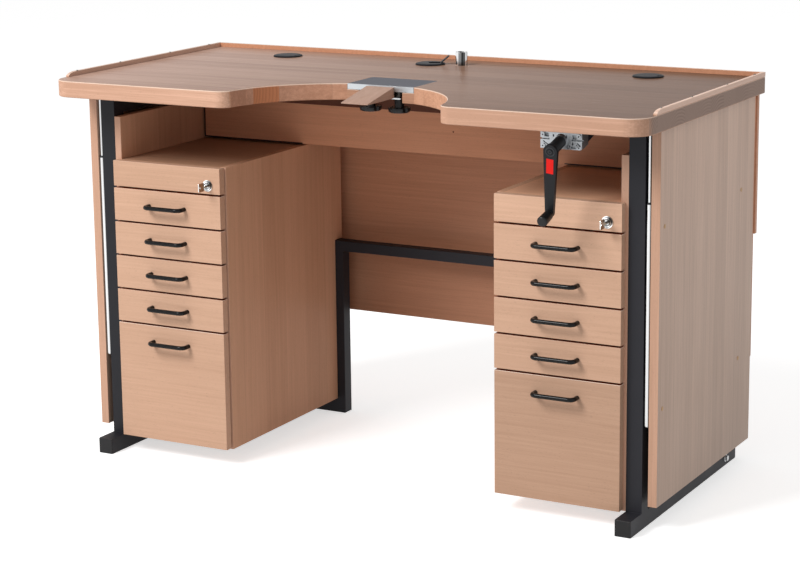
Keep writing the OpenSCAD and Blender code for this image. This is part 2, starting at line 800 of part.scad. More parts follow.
// A grommet's flap, which turns on the rod along its edge
module grommet_flap(i) {
    g = GROMMETS[i];
    color(gloss_black) at_grommet(g) translate([flap_r, 0, grommet_t - flap_t / 2]) rotate([0, g.z, 0]) {
        rotate([90, 0, 0]) cylinder(d = flap_t, h = flap_w, center = true, $fn = 24);
        translate([-flap_l, -flap_w / 2, -flap_t / 2]) cube([flap_l, flap_w, flap_t]);
    }
}

// Open chrome tube that takes a tool holder
module tool_post() {
    color(chrome) translate([post_x, top_d - post_in, under]) difference() {
        cylinder(d = post_d, h = top_t + post_h);
        translate([0, 0, -1]) cylinder(d = post_d - 2 * wall, h = top_t + post_h + 2);
    }
}

// Moves a piece so that the bench's outline is centred on X = 0 and Y = 0
module centred() {
    translate([0, -mid_y, 0]) children();
}

centred() side_frame("left");  // left_side_frame
centred() side_frame("right");  // right_side_frame
centred() rear_frame();
centred() tube_end_caps();
centred() frame_bolts();
centred() lift_cylinders();
centred() panel_spacers();
centred() side_panels();
centred() panel_plugs();
centred() lower_back_panel();
centred() outer_boards();
centred() pedestal_inner_sides();
centred() pedestal_tops();
centred() pedestal_bottoms();
centred() pedestal_backs();
centred() lock_boards();
centred() lock_barrels();
centred() drawer_runners();
centred() drawer("left", 0);  // left_drawer_1
centred() drawer("left", 1);  // left_drawer_2
centred() drawer("left", 2);  // left_drawer_3
centred() drawer("left", 3);  // left_drawer_4
centred() drawer("left", 4);  // left_drawer_5
centred() drawer("right", 0);  // right_drawer_1
centred() drawer("right", 1);  // right_drawer_2
centred() drawer("right", 2);  // right_drawer_3
centred() drawer("right", 3);  // right_drawer_4
centred() drawer("right", 4);  // right_drawer_5
centred() handle("left", 0);  // left_handle_1
centred() handle("left", 1);  // left_handle_2
centred() handle("left", 2);  // left_handle_3
centred() handle("left", 3);  // left_handle_4
centred() handle("left", 4);  // left_handle_5
centred() handle("right", 0);  // right_handle_1
centred() handle("right", 1);  // right_handle_2
centred() handle("right", 2);  // right_handle_3
centred() handle("right", 3);  // right_handle_4
centred() handle("right", 4);  // right_handle_5
centred() key("left");  // left_key
centred() key("right");  // right_key
centred() worktop();
centred() edge_strips();
centred() apron();
centred() upper_rear_panel();
centred() lift_rods();
centred() bench_plate();
centred() clamp_studs();
centred() clamp_bar();
centred() bench_pin();
centred() knob(-1);  // left_knob
centred() knob(1);  // right_knob
centred() pump();
centred() pump_bracket();
centred() crank();
centred() crank_grip();
centred() cable_grommets();
centred() grommet_flap(0);  // left_grommet_flap
centred() grommet_flap(1);  // middle_grommet_flap
centred() grommet_flap(2);  // right_grommet_flap
centred() tool_post();
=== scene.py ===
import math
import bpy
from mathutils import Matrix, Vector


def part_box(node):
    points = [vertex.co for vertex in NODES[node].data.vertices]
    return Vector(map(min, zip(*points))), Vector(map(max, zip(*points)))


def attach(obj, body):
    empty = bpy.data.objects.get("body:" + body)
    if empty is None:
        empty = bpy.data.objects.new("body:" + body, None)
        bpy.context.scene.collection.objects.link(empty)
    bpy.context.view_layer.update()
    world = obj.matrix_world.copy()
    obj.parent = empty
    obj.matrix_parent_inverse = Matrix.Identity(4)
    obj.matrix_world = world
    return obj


bl_info = {
    "name": "Jewellers Bench",
    "version": (1, 0, 0),
    "blender": (4, 5, 0),
    "location": "View3D > Sidebar > Bench",
    "description": "Finishes a height-adjustable jewellers bench and sets it on a plain studio floor",
    "category": "Object",
}

import bmesh
import bpy
from bpy.props import FloatProperty, FloatVectorProperty, PointerProperty
from mathutils import Matrix, Vector

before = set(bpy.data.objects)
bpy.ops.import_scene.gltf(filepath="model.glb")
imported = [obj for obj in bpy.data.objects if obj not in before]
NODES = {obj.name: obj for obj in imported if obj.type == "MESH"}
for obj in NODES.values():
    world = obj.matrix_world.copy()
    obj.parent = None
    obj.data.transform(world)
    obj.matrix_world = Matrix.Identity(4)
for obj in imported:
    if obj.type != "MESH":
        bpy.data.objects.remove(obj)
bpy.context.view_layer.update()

# Lengths are in metres. X runs to the right, Y to the back and Z up, from the floor under the bench's middle.
TOP_LOW, TOP_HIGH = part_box("worktop")
FRONT_Y = TOP_LOW.y
SIDES = ("left", "right")
DRAWERS = tuple(f"{side}_drawer_{i}" for side in SIDES for i in range(1, 6))
HANDLES = tuple(f"{side}_handle_{i}" for side in SIDES for i in range(1, 6))
FLAPS = tuple(f"{place}_grommet_flap" for place in ("left", "middle", "right"))
# Turns the axis of a turned piece from up to forward
FORWARD = Matrix.Rotation(math.radians(90), 4, "X")
# What all colours and all lengths among the properties share
COLOUR = {"subtype": "COLOR", "size": 3, "min": 0, "max": 1}
LENGTH = {"min": 0, "unit": "LENGTH"}

# The layers of the beech's figure: waves a metre along the grain and across it, and the noise's detail
STREAKS = (1.8, 150.0, 3.0)
FINE_LINES = (9.0, 420.0, 2.0)
CLOUDS = (2.0, 16.0, 2.0)
FLECKS = (170.0, 1300.0, 0.0)
# How far each layer and a stave's own level move the tone between the pale and the deep colour
STREAK_WEIGHT, LINE_WEIGHT, CLOUD_WEIGHT, STAVE_WEIGHT = 1.5, 1.1, 0.8, 0.55
PALE, DEEP = (1.12, 1.12, 1.12), (0.88, 0.84, 0.81)
# The lines bend gently: waves a metre along the grain and across it, and how far they carry a line
BEND_ALONG, BEND_ACROSS, BEND_REACH = 2.2, 5.0, 0.012
# The axes along the grain, across it and through the board, for each axis that the grain can follow
GRAIN_AXES = {"X": "XYZ", "Y": "YXZ", "Z": "ZYX"}
# How far a stave's figure may be shifted along the grain, and the seam beside it: width, tone and strength
STAVE_SHIFT, SEAM_WIDTH, SEAM_TONE, SEAM_DEPTH = 7.0, 0.0008, 0.3, 0.18
# Flecks: their tone, and how much of it shows from which level of the noise
FLECK_TONE, FLECK_STOPS = 0.35, ((0.70, 0.0), (0.78, 0.22))
# Fades: the axis, where the level is 1, and how many times it doubles in a metre for red, green and blue
# Of these, the worktop's fade is a painted reflection, and those of the side panels, pedestal tops, lower
# back panel and lock boards are painted light and shade
WORKTOP_PAINTED_REFLECTION = ("X", 0.0, (-1.05, -1.25, -1.5))
STRIP_FADE = ("X", 0.0, (0.35, 0.38, 0.4))
PANEL_PAINTED_SHADE = ("Z", 0.7, (0.55, 0.5, 0.5))
PEDESTAL_TOP_PAINTED_SHADE = ("X", 0.0, (1.1, 1.1, 1.1))
BACK_PANEL_PAINTED_SHADE = ("Z", 0.4, (1.3, 1.2, 1.1))
LOCK_BOARD_PAINTED_LIGHT = ("X", 0.0, (0.3, 0.33, 0.36))
# Which faces are level, look forward or look right, by the parts of their normals
LEVEL_FROM, FORWARD_FROM, RIGHT_FROM = 0.96, -0.7, 0.25
# The painted highlight on rounded upper edges: where it lies by the upward part of the normal, and its colour
EDGE_HIGHLIGHT_STOPS, EDGE_HIGHLIGHT_COLOUR = ((0.12, 0.0), (0.3, 1.0), (0.88, 1.0), (0.96, 0.0)), (1.0, 0.85, 0.72)

# Lacquer: how far the fine lines change its roughness, a fleck's depth in lines, and its relief
LACQUER_VARIES, FLECK_DEPTH, LACQUER_RELIEF = 0.12, 2.0, (0.08, 0.0003)
# Paint and plastic: waves a metre of the peel and the patches, the patches' levels, and the peel's height
PEEL_WAVES, PATCH_WAVES, PATCH_LEVELS, PATCH_VARIES, PEEL_HEIGHT = 900.0, 14.0, (0.85, 1.15), 0.12, 0.0004
# Bare metal: the same for its patches and marks, and from which part of the normal a face is a flat side
BLOOM_WAVES, BLOOM_LEVELS, MARKS_VARY, MARKS_HEIGHT, SIDE_FROM = 25.0, (0.88, 1.08), 0.16, 0.0003, 0.7
# Chrome: waves a metre of its faint marks, its roughness and how far that varies, and its relief
CHROME_WAVES, CHROME_ROUGH, CHROME_VARIES, CHROME_RELIEF = 300.0, 0.12, 0.08, (0.02, 0.0002)

# The worktop's staves, counted from here to the back
STAVES_FROM = FRONT_Y - 0.0105
# Their cut ends: how widely the hearts scatter, and how far below the worktop the lowest may lie
HEART_SPREAD, HEART_DEPTH = 0.16, 0.10
# Growth rings: the distance between them, how far they waver, their tones, and how clearly they show
RING_PITCH, RING_WAVER = 0.0065, 1.5
RING_TONES = ((0.0, 0.72), (0.3, 0.92), (0.7, 1.09), (1.0, 0.72))
RINGS_LEAST, RINGS_SPREAD = 0.35, 0.6
# A face is a cut end by the part of its normal along the grain, and an outer one near the worktop's sides
CUT_STOPS, OUTER_END = ((0.9, 0.0), (0.99, 1.0)), 0.03
# The bay's wall, and the block in its left side that shows its rings, counted in staves
BAY_HALF_WIDTH, BAY_MIDDLE_Y, BAY_HALF_DEPTH = 0.42, FRONT_Y + 0.14, 0.12
BLOCK_MIDDLE, BLOCK_HALF = 1.63, 0.37
# The shade on the bay's wall, from a face that looks left to one that looks right
BAY_TONES = (
    (0.0, (1.08, 0.98, 0.9)), (0.35, (0.76, 0.67, 0.60)), (0.5, (0.66, 0.59, 0.54)),
    (0.65, (0.74, 0.64, 0.58)), (1.0, (0.80, 0.70, 0.66)),
)

# The painted reflections that chrome shows as bands round an upright axis: the part of the turn, and the
# level
TUBE_PAINTED_REFLECTION = (
    (0.0, 0.10), (0.07, 0.12), (0.085, 0.88), (0.222, 0.86), (0.238, 0.26), (0.305, 0.22), (0.322, 0.03),
    (0.36, 0.04), (0.37, 0.10), (0.42, 0.11), (0.432, 0.78), (0.484, 0.80), (0.496, 0.06), (0.58, 0.10),
    (0.62, 0.30), (0.67, 0.75), (0.76, 0.80), (0.79, 0.12), (0.87, 0.2), (0.95, 0.35), (1.0, 0.10),
)
ROD_PAINTED_REFLECTION = (
    (0.0, 0.2), (0.10, 0.3), (0.16, 0.42), (0.22, 0.62), (0.32, 0.66), (0.37, 0.3), (0.43, 0.05),
    (0.54, 0.06), (0.6, 0.5), (0.8, 0.45), (0.9, 0.6), (1.0, 0.2),
)
# A lock's face has rays of painted reflection round its middle, and rings of painted highlight and shade at
# parts of LOCK_REACH from it
LOCK_PAINTED_RAYS = (
    (0.0, 0.35), (0.12, 0.55), (0.25, 0.42), (0.34, 0.95), (0.47, 0.9), (0.53, 0.3), (0.62, 0.22),
    (0.71, 0.35), (0.76, 0.95), (0.88, 1.0), (0.95, 0.5), (1.0, 0.35),
)
LOCK_PAINTED_RINGS = (
    (0.22, 0.05), (0.26, 0.5), (0.44, 0.55), (0.48, 0.08), (0.56, 0.1), (0.60, 0.9), (0.74, 0.9),
    (0.77, 0.1), (0.82, 0.15), (0.85, 0.9),
)
LOCK_REACH = 0.0125
# The locks' middles lie this far below the middles of their boards
LOCK_DROP = 0.010

# The apron: its upper part, above the first of these heights, gets a painted shadow, and the thin joints
# below and beside it get painted shade
PAINTED_SHADOW_FROM, JOINT_HEIGHT, JOINT_WIDTH, JOINT_FROM_X, PAST_EDGE = 0.770, 0.0025, 0.003, 0.33, 0.001
APRON_PAINTED_SHADOW, JOINT_PAINTED_SHADE, GAP_PAINTED_SHADE = (96, 54, 36), (34, 28, 28), (146, 76, 46)
# The fronts differ a little in level, and the right pedestal's lowest drawer is darker still as painted
# shade. The drawers' levels run down the left pedestal and then the right one
LOCK_BOARD_LEVEL = 1.04
DRAWER_LEVELS = (1.0, 0.98, 0.99, 0.97, 0.97, 1.03, 1.01, 1.0, 0.97, 0.84)
# The painted shade of the gaps between the fronts ends this far behind them
PAST_FRONT = 0.0005

# Small parts' colours, in screen values
HANDLE_BLACK, CRANK_BLACK, HUB_RING_BLACK, KNOB_BLACK = (11, 11, 12), (23, 24, 27), (42, 43, 47), (20, 20, 22)
GROMMET_BLACK, CLAMP_STUD, ZINC, PLATE_EDGE = (30, 31, 35), (62, 60, 58), (205, 207, 208), (196, 200, 203)
KEY_STEEL, KEY_SIDES_PAINTED_REFLECTION, RIM_STUD, DOWEL_BROWN = (222, 222, 220), (150, 128, 106), (116, 108, 101), (120, 76, 56)
# The tint of the gloss on the bench plate
PLATE_TINT = (0.5, 0.5, 0.53)
# Marks of grinding and of drawing run along X: how much the noise is squeezed along each axis
GROUND, DRAWN = (1, 12, 1), (1, 10, 1)

# The radii of rounded edges, and the angles from which an edge is rounded or stays sharp
WORKTOP_ROUND, STRIP_ROUND, BOARD_ROUND, FRONT_ROUND, TUBE_ROUND = 0.0024, 0.0012, 0.0008, 0.0010, 0.0018
CRANK_ROUND, KNOB_ROUND, CAP_ROUND, POST_ROUND, FLAP_ROUND = 0.0009, 0.0016, 0.0012, 0.0005, 0.0003
SMALL_ROUND = 0.0006
MERGE_WITHIN, ROUND_ANGLE, SHARP_ANGLE = 0.00002, math.radians(40), math.radians(35)

# The small turned pieces' profiles of radius and height. A stud's radii are parts of the whole
STUD_PROFILE = ((1.0, -0.001), (1.0, 0.0008), (0.85, 0.0014), (0.45, 0.0017), (0.0, 0.0018))
DOWEL_PROFILE = ((0.0020, -0.002), (0.0020, 0.0), (0.0015, 0.0003), (0.0, 0.0003))
HUB_RING = ((0.0098, 0.0), (0.0098, 0.0007), (0.0082, 0.0007), (0.0080, 0.0))
HUB_CENTRE = ((0.0040, 0.0), (0.0040, 0.0006), (0.0026, 0.0006), (0.0024, 0.0))
SEAL_PROFILE = (
    (0.00425, 0.0), (0.00425, 0.004), (0.0055, 0.004), (0.0061, 0.003), (0.0061, 0.0), (0.00425, 0.0),
)
STUD_INSET, STUD_SET_BACKS = 0.0056, (0.095, 0.258, 0.458, 0.625)
DOWEL_X, DOWEL_Z = 0.0603, 0.730
CYLINDER_RADIUS = 0.006

# The crank turns about a shaft that slopes down to the front, and its arm leans a little to the left
CRANK_TILT, ARM_LEAN = math.radians(16), math.radians(8)
# How far its middle lies behind the worktop's front and under the worktop, then places in its own frame
CRANK_SET_BACK, CRANK_DROP = 0.046, 0.023
ARM_FACE, HUB_CENTRE_RISE = -0.054, 0.001
LABEL_TOP, LABEL_FROM, LABEL_TO = -0.0158, -0.0543, -0.0539

# The camera: where it stands, how it is turned in radians, its lens in millimetres, and its shift
CAMERA_SPOT = (2.2671, FRONT_Y - 3.8359, 1.4936)
CAMERA_YAW, CAMERA_PITCH, CAMERA_ROLL = 0.4982, -0.2081, -0.0112
SENSOR_WIDTH, FOCAL_LENGTH, SHIFT_X, SHIFT_Y = 36.0, 99.11, -0.0059, -0.05
# The main lamp: what it is aimed at, the direction in which it stands, and how far off
KEY_AIM, KEY_FROM, KEY_DISTANCE = Vector((0, -0.1, 0.6)), Vector((-0.36, -0.676, 0.643)), 5.0
# The floor's own grey, and the glow that makes it white in the picture
FLOOR_GREY, FLOOR_GLOW = 0.80, 0.62


def srgb(red, green, blue):
    """A colour given in 0 to 255 screen values, as linear light."""
    out = []
    for value in (red, green, blue):
        c = value / 255
        out.append(c / 12.92 if c <= 0.04045 else ((c + 0.055) / 1.055) ** 2.4)
    return tuple(out)


def scaled(colour, level):
    """A colour made lighter or darker."""
    return tuple(level * c for c in colour)


def tinted(colour, tint):
    """A colour with each of its parts scaled on its own."""
    return tuple(k * c for k, c in zip(tint, colour))


class Web:
    """A node tree, with short calls that add and join its nodes."""

    def __init__(self, tree):
        self.tree = tree
        self.tree.nodes.clear()

    def put(self, kind, settings=None, **sockets):
        """Adds a node and fills its sockets, whose names have a low line for each space."""
        node = self.tree.nodes.new("ShaderNode" + kind)
        for key, value in (settings or {}).items():
            setattr(node, key, value)
        for key, value in sockets.items():
            self.plug(node.inputs[key.replace("_", " ")], value)
        return node

    def plug(self, socket, value):
        """Links another node's output to a socket, or sets the socket's own value."""
        if isinstance(value, bpy.types.NodeSocket):
            self.tree.links.new(value, socket)
        elif socket.type == "RGBA":
            socket.default_value = (*value, 1.0)
        else:
            socket.default_value = value

    def math(self, operation, a, b=0.0, c=0.0, clamp=False):
        node = self.put("Math", {"operation": operation, "use_clamp": clamp})
        for socket, value in zip(node.inputs, (a, b, c)):
            self.plug(socket, value)
        return node.outputs[0]

    def add(self, a, b):
        return self.math("ADD", a, b)

    def take(self, a, b):
        return self.math("SUBTRACT", a, b)

    def times(self, a, b):
        return self.math("MULTIPLY", a, b)

    def divide(self, a, b):
        return self.math("DIVIDE", a, b)

    def times_add(self, a, b, c):
        return self.math("MULTIPLY_ADD", a, b, c)

    def size(self, a):
        return self.math("ABSOLUTE", a)

    def above(self, a, limit):
        return self.math("GREATER_THAN", a, limit)

    def below(self, a, limit):
        return self.math("LESS_THAN", a, limit)

    def within(self, a, middle, reach):
        return self.math("COMPARE", a, middle, reach)

    def distance(self, x, y):
        return self.math("SQRT", self.add(self.times(x, x), self.times(y, y)))

    def join(self, x, y, z):
        return self.put("CombineXYZ", X=x, Y=y, Z=z).outputs[0]

    def split(self, vector):
        return self.put("SeparateXYZ", Vector=vector).outputs

    def noise(self, vector, scale, detail=2.0, roughness=0.5):
        node = self.put("TexNoise", Vector=vector, Scale=scale, Detail=detail, Roughness=roughness)
        return node.outputs["Fac"]

    def ramp(self, factor, *stops):
        """A colour ramp through stops of (place, grey level or colour)."""
        node = self.put("ValToRGB", Fac=factor)
        points = node.color_ramp.elements
        while len(points) > len(stops):
            points.remove(points[-1])
        while len(points) < len(stops):
            points.new(0.5)
        for point, (place, value) in zip(points, stops):
            point.position = place
            colour = (value,) * 3 if isinstance(value, (int, float)) else value
            point.color = (*colour, 1.0)
        return node.outputs["Color"]

    def mix(self, factor, a, b, blend="MIX"):
        node = self.put("Mix", {"data_type": "RGBA", "blend_type": blend})
        self.plug(node.inputs[0], factor)
        self.plug(node.inputs[6], a)
        self.plug(node.inputs[7], b)
        return node.outputs[2]

    def multiply(self, shade, paint):
        return self.mix(1.0, shade, paint, "MULTIPLY")

    def bump(self, height, strength, distance):
        return self.put("Bump", Strength=strength, Distance=distance, Height=height).outputs[0]

    def seen_plainly(self):
        """Is 1 for what shows in the picture by itself, in a mirroring face or through a clear one."""
        path = self.put("LightPath").outputs
        seen = self.math("MAXIMUM", path["Is Camera Ray"], path["Is Glossy Ray"])
        return self.math("MAXIMUM", seen, path["Is Transmission Ray"])

    def pick(self, factor, first, second):
        """One of two shaders."""
        node = self.put("MixShader")
        for socket, value in zip(node.inputs, (factor, first, second)):
            self.plug(socket, value)
        return node.outputs[0]


class Finish(Web):
    """A material, by its node tree."""

    def __init__(self, name):
        self.material = bpy.data.materials.new(name)
        self.material.use_nodes = True
        super().__init__(self.material.node_tree)

    def done(self, shader):
        """Ends the material with a shader of any kind."""
        self.put("OutputMaterial", Surface=shader)
        return self.material

    def surface(self, **sockets):
        """Ends the material with the usual shader for solid stuff."""
        return self.done(self.put("BsdfPrincipled", **sockets).outputs[0])


class Beech(Finish):
    """Lacquered beech: streaks, fine lines and flecks run along one axis of the object, its grain."""

    def __init__(self, name, grain, colour, figure=1.0, stave=0.0, start=0.0, seed=0.0):
        super().__init__(name)
        self.grain, self.colour, self.stave = grain, tuple(colour), stave
        coords = self.put("TexCoord").outputs
        self.spot, self.facing = self.split(coords["Object"]), self.split(coords["Normal"])
        self.along, self.across, self.through = (self.spot[axis] for axis in GRAIN_AXES[grain])
        bends = zip((self.along, self.across, self.through), (BEND_ALONG, BEND_ACROSS, BEND_ACROSS))
        self.bend = self.noise(self.join(*(self.times(way, waves) for way, waves in bends)), 1.0, 1.0)
        # Staves glued side by side each have their own heart and shade
        index = seed
        if stave:
            self.count = self.divide(self.take(self.across, start), stave)
            index = self.add(self.math("FLOOR", self.count), seed)
        dice = self.put("TexWhiteNoise", {"noise_dimensions": "1D"}, W=index).outputs
        self.roll = self.put("SeparateColor", Color=dice["Color"]).outputs
        self.shift = self.add(self.along, self.times(dice["Value"], STAVE_SHIFT))
        self.fine, self.cloud = self.lines(*FINE_LINES), self.lines(*CLOUDS)
        tone = self.times(self.lines(*STREAKS), STREAK_WEIGHT * figure)
        tone = self.times_add(self.fine, LINE_WEIGHT * figure, tone)
        tone = self.times_add(self.cloud, CLOUD_WEIGHT * figure, tone)
        if stave:
            tone = self.times_add(self.take(self.roll[2], 0.5), STAVE_WEIGHT * figure, tone)
        self.tone = self.math("ADD", tone, 0.5, clamp=True)
        self.shade = self.toned(self.colour)

    def lines(self, long, thin, detail):
        """Noise between -0.5 and 0.5, stretched along the grain."""
        drift = self.times(self.bend, BEND_REACH * thin)
        across, through = (self.times_add(way, thin, drift) for way in (self.across, self.through))
        place = self.join(self.times(self.shift, long), across, through)
        return self.take(self.noise(place, 1.0, detail, 0.55), 0.5)

    def toned(self, base):
        """A colour with the figure in it."""
        return self.mix(self.tone, tinted(base, PALE), tinted(base, DEEP))

    def faded(self, shade, axis, middle, slopes):
        """A shade that doubles in 1 / slope metres along an axis, for red, green and blue apart."""
        off = self.take(self.spot[axis], middle)
        levels = (self.math("POWER", 2.0, self.times(off, slope)) for slope in slopes)
        return self.multiply(shade, self.join(*levels))

    def fade(self, axis, middle, slopes):
        """Fades all that is painted so far."""
        self.shade = self.faded(self.shade, axis, middle, slopes)
        return self

    def lip(self, colour):
        """Gives the front edges, which look forward, a lipping of their own."""
        self.shade = self.mix(self.below(self.facing["Y"], FORWARD_FROM), self.shade, self.toned(colour))
        return self

    def top(self, colour, fade=None, until=None):
        """Gives the level faces another colour, as far back as a given Y."""
        flat = self.above(self.size(self.facing["Z"]), LEVEL_FROM)
        if until is not None:
            flat = self.times(flat, self.below(self.spot["Y"], until))
        paint = self.toned(tuple(colour))
        self.shade = self.mix(flat, self.shade, self.faded(paint, *fade) if fade else paint)
        return self

    def band(self, low, high, beyond, paint):
        """Paints the heights between two levels, at more than a given distance from the bench's middle."""
        height = self.within(self.spot["Z"], (low + high) / 2, (high - low) / 2)
        side = self.above(self.size(self.spot["X"]), beyond)
        self.shade = self.mix(self.times(height, side), self.shade, paint)
        return self

    def paint_edge_highlight(self, amount):
        """Paints a highlight on the rounded upper edges, where the lacquer would catch the light."""
        edge = self.ramp(self.facing["Z"], *EDGE_HIGHLIGHT_STOPS)
        self.shade = self.mix(self.times(edge, amount), self.shade, EDGE_HIGHLIGHT_COLOUR)
        return self

    def growth_rings(self):
        """Rings round each stave's own heart, which waver a little."""
        off = self.times(self.take(self.math("FRACT", self.count), 0.5), self.stave)
        off = self.take(off, self.times_add(self.roll[0], HEART_SPREAD, -HEART_SPREAD / 2))
        level = self.times_add(self.roll[1], HEART_SPREAD, TOP_LOW.z - HEART_DEPTH)
        radius = self.distance(off, self.take(self.through, level))
        wave = self.times_add(self.cloud, RING_WAVER, self.divide(radius, RING_PITCH))
        return self.ramp(self.math("FRACT", wave), *RING_TONES)

    def cut_ends(self, colour, outer):
        """Shows cut ends on the faces across the grain, and shades the wall of the bay."""
        mouth = self.below(self.size(self.spot["X"]), BAY_HALF_WIDTH)
        bay = self.times(mouth, self.within(self.spot["Y"], BAY_MIDDLE_Y, BAY_HALF_DEPTH))
        block = self.within(self.count, BLOCK_MIDDLE, BLOCK_HALF)
        block = self.times(bay, self.times(block, self.above(self.facing["X"], RIGHT_FROM)))
        cut = self.ramp(self.size(self.facing[self.grain]), *CUT_STOPS)
        cut = self.math("MAXIMUM", self.times(cut, self.take(1.0, bay)), block)
        end = self.mix(self.above(self.size(self.along), TOP_HIGH.x - OUTER_END), colour, outer)
        ringed = self.multiply(end, self.growth_rings())
        end = self.mix(self.times_add(self.roll[2], RINGS_SPREAD, RINGS_LEAST), end, ringed)
        self.shade = self.mix(cut, self.shade, end)
        # The wall lies in the shade of its own rim on the left and at the back
        wall = self.ramp(self.times_add(self.facing["X"], 0.5, 0.5), *BAY_TONES)
        self.shade = self.mix(bay, self.shade, self.multiply(self.shade, wall))
        return self

    def lacquer(self, shine=0.3, rough=0.4):
        """Adds the staves' seams and the flecks, and ends the material."""
        if self.stave:
            seam = self.size(self.take(self.math("FRACT", self.count), 0.5))
            seam = self.above(seam, 0.5 - SEAM_WIDTH / 2 / self.stave)
            self.shade = self.mix(self.times(seam, SEAM_DEPTH), self.shade, scaled(self.colour, SEAM_TONE))
        fleck = self.ramp(self.add(self.lines(*FLECKS), 0.5), *FLECK_STOPS)
        self.shade = self.mix(fleck, self.shade, scaled(self.colour, FLECK_TONE))
        height = self.take(self.fine, self.times(fleck, FLECK_DEPTH))
        return self.surface(
            Base_Color=self.shade, Roughness=self.times_add(self.fine, LACQUER_VARIES, rough),
            Normal=self.bump(height, *LACQUER_RELIEF), Specular_IOR_Level=shine,
        )


def coated(name, colour, rough, peel=0.12, shine=0.25):
    """Paint, powder coat or moulded plastic with a fine orange-peel surface."""
    web = Finish(name)
    spot = web.put("TexCoord").outputs["Object"]
    grain, patch = web.noise(spot, PEEL_WAVES), web.noise(spot, PATCH_WAVES, 3.0)
    deep, pale = (scaled(colour, level) for level in PATCH_LEVELS)
    return web.surface(
        Base_Color=web.mix(patch, deep, pale),
        Roughness=web.times_add(patch, PATCH_VARIES, rough - PATCH_VARIES / 2),
        Normal=web.bump(grain, peel, PEEL_HEIGHT), Specular_IOR_Level=shine,
    )


def bare_metal(name, colour, rough, stretch=(1, 1, 1), marks=400.0, depth=0.1, top=None, sides=None,
               tint=(1.0, 1.0, 1.0)):
    """Metal with fine marks along one direction, and a colour of its own for its top or its flat sides."""
    web = Finish(name)
    coords = web.put("TexCoord").outputs
    place = web.put("Mapping", Vector=coords["Object"], Scale=stretch).outputs[0]
    scratch = web.noise(place, marks, 3.0, 0.65)
    patch = web.noise(coords["Object"], BLOOM_WAVES, 3.0)
    deep, pale = (tuple(min(1.0, c) for c in scaled(colour, level)) for level in BLOOM_LEVELS)
    shade = web.mix(patch, deep, pale)
    facing = web.split(coords["Normal"])
    for axis, other in (("Z", top), ("X", sides)):
        if other:
            flat = web.above(web.size(facing[axis]), SIDE_FROM)
            shade = web.mix(flat, shade, web.mix(scratch, scaled(other, BLOOM_LEVELS[0]), other))
    return web.surface(
        Base_Color=shade, Metallic=1.0, Specular_Tint=tint,
        Roughness=web.math("MULTIPLY_ADD", scratch, MARKS_VARY, rough - MARKS_VARY / 2, clamp=True),
        Normal=web.bump(scratch, depth, MARKS_HEIGHT),
    )


class Chrome(Finish):
    """Polished chrome, whose colour holds the bands that it would mirror in a furnished room."""

    def turn(self, x, y):
        """The part of a whole turn round an axis."""
        return self.divide(self.add(self.math("ARCTAN2", y, x), math.pi), 2 * math.pi)

    def polish(self, coords, shade):
        """Ends the material with faint marks in the polish."""
        marks = self.noise(coords["Object"], CHROME_WAVES)
        return self.surface(
            Base_Color=shade, Metallic=1.0, Normal=self.bump(marks, *CHROME_RELIEF),
            Roughness=self.times_add(marks, CHROME_VARIES, CHROME_ROUGH),
        )


def banded_chrome(name, bands):
    """Chrome on a round upright piece, with bands of painted reflection that run up it."""
    web = Chrome(name)
    coords = web.put("TexCoord").outputs
    facing = web.split(coords["Normal"])
    return web.polish(coords, web.ramp(web.turn(facing["X"], facing["Y"]), *bands))


def turned_chrome(name, rays, rings, centres):
    """Chrome on two turned faces that look forward, left and right, with their centres as (x, z), and rays
    and rings of painted reflection and shade.
    """
    web = Chrome(name)
    coords = web.put("TexCoord").outputs
    spot = web.split(coords["Object"])
    (left, height), (right, _) = centres
    middle = web.times_add(web.above(spot["X"], 0.0), right - left, left)
    x, y = web.take(spot["X"], middle), web.take(spot["Z"], height)
    ring = web.ramp(web.divide(web.distance(x, y), LOCK_REACH), *rings)
    return web.polish(coords, web.multiply(web.ramp(web.turn(x, y), *rays), ring))


def dress(material, *names):
    """Gives CAD nodes their finish."""
    for name in names:
        slots = NODES[name].data.materials
        slots.clear()
        slots.append(material)


def finish_of(name):
    """The finish that an earlier operator gave a node, for others of the same stuff."""
    return NODES[name].data.materials[0]


def soften(name, radius, segments=2, clamp=True):
    """Rounds a node's hard edges with modifiers, which leave its own mesh as it is."""
    piece = NODES[name]
    weld = piece.modifiers.new("weld", "WELD")
    weld.merge_threshold = MERGE_WITHIN
    bevel = piece.modifiers.new("round", "BEVEL")
    bevel.width = radius
    bevel.segments = segments
    bevel.limit_method = "ANGLE"
    bevel.angle_limit = ROUND_ANGLE
    bevel.harden_normals = True
    bevel.use_clamp_overlap = clamp


def mesh_piece(name, shape, body, material):
    """Makes a piece from a bmesh and lets it ride on a body."""
    data = bpy.data.meshes.new(name)
    bmesh.ops.recalc_face_normals(shape, faces=shape.faces)
    shape.to_mesh(data)
    shape.free()
    piece = bpy.data.objects.new(name, data)
    bpy.context.scene.collection.objects.link(piece)
    data.materials.append(material)
    for face in data.polygons:
        face.use_smooth = True
    data.set_sharp_from_angle(angle=SHARP_ANGLE)
    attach(piece, body)


def turned(shape, profile, matrix, steps):
    """Turns a profile of (radius, height) points about its own axis, and puts it in place."""
    rings = []
    for radius, height in profile:
        if radius == 0:
            rings.append([shape.verts.new(matrix @ Vector((0, 0, height)))])
        else:
            turns = (2 * math.pi * i / steps for i in range(steps))
            points = (Vector((radius * math.cos(a), radius * math.sin(a), height)) for a in turns)
            rings.append([shape.verts.new(matrix @ point) for point in points])
    for low, high in zip(rings, rings[1:]):
        for i in range(steps):
            j = (i + 1) % steps
            corners = (low[i % len(low)], low[j % len(low)], high[j % len(high)], high[i % len(high)])
            unique = list(dict.fromkeys(corners))
            if len(unique) > 2:
                shape.faces.new(unique)


